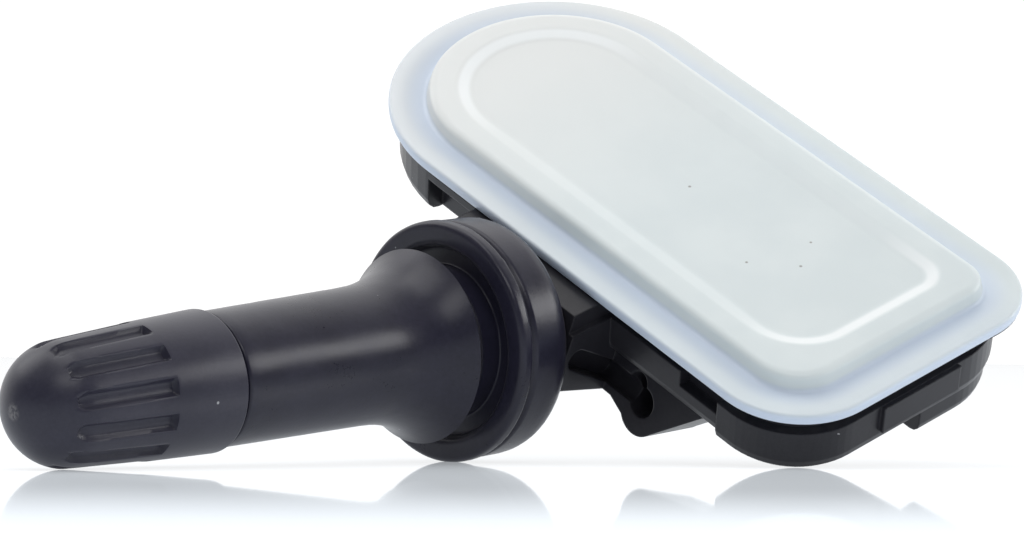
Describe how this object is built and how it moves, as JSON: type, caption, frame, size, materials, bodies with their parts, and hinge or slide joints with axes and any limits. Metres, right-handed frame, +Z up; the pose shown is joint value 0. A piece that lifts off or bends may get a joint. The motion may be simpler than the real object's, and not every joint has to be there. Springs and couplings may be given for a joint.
{
  "type": "tyre pressure sensor",
  "caption": "Wheel pressure sensor with a flat, D-shaped body under a pale lid, joined at an angle to a rubber snap-in valve that carries a fluted dust cap.",
  "frame": {"origin": "on the floor under the middle of the part's box, as it comes to rest on its dust cap, valve flange and one corner of the housing", "axes": "+X along the longest side, towards the dust cap (the valve's axis dips 7.26 degrees below +X), +Z up from the floor, +Y on the side of the body's square end"},
  "size_m": [0.0778, 0.053, 0.0389],
  "materials": {
    "cap_plastic": "satin",
    "valve_rubber": "matte",
    "cap_seal_rubber": "matte",
    "insert_brass": "satin",
    "core_brass": "satin",
    "core_seal_rubber": "matte",
    "cup_rubber": "matte",
    "spring_steel": "satin",
    "housing_plastic": "satin",
    "lid_plastic": "gloss",
    "screw_steel": "satin",
    "board_laminate": "satin",
    "battery_steel": "satin",
    "tab_steel": "satin",
    "chip_plastic": "matte",
    "gasket_rubber": "matte",
    "coil_winding": "satin",
    "antenna_wire": "satin",
    "crystal_can": "satin",
    "component_ceramic": "matte"
  },
  "bodies": {
    "sensor": {"core_plug": "core_brass", "core_barrel": "core_brass", "core_seal": "core_seal_rubber", "core_spring": "spring_steel", "stem_insert": "insert_brass", "rubber_stem": "valve_rubber", "housing": "housing_plastic", "lid": "lid_plastic", "mounting_screw": "screw_steel", "circuit_board": "board_laminate", "battery_cell": "battery_steel", "battery_tab_upper": "tab_steel", "battery_tab_lower": "tab_steel", "sensor_chip": "chip_plastic", "port_gasket": "gasket_rubber", "lf_coil": "coil_winding", "rf_antenna": "antenna_wire", "crystal": "crystal_can", "board_components": "component_ceramic"},
    "core_valve": {"core_pin": "core_brass", "core_cup_seal": "cup_rubber"},
    "cap_carrier": {"cap_seal": "cap_seal_rubber"},
    "cap": {"dust_cap": "cap_plastic"}
  },
  "joints": [
    {"name": "core_travel", "type": "slide", "parent": "sensor", "child": "core_valve", "axis": [-0.992, 0, 0.1263], "range_m": [0, 0.0012], "stiffness_N_per_m": 300, "springref_m": -0.002, "deforming": ["core_spring"]},
    {"name": "cap_travel", "type": "slide", "parent": "sensor", "child": "cap_carrier", "axis": [0.992, 0, -0.1263], "range_m": [0, 0.00556]},
    {"name": "cap_spin", "type": "hinge", "parent": "cap_carrier", "child": "cap", "pos_m": [0.02725, -0.0066, 0.00563], "axis": [0.992, 0, -0.1263], "range_deg": [0, 2520.1]}
  ],
  "couplings": [
    {"joint": "cap_spin", "follows": "cap_travel", "rad_per_m": 7913.3}
  ]
}
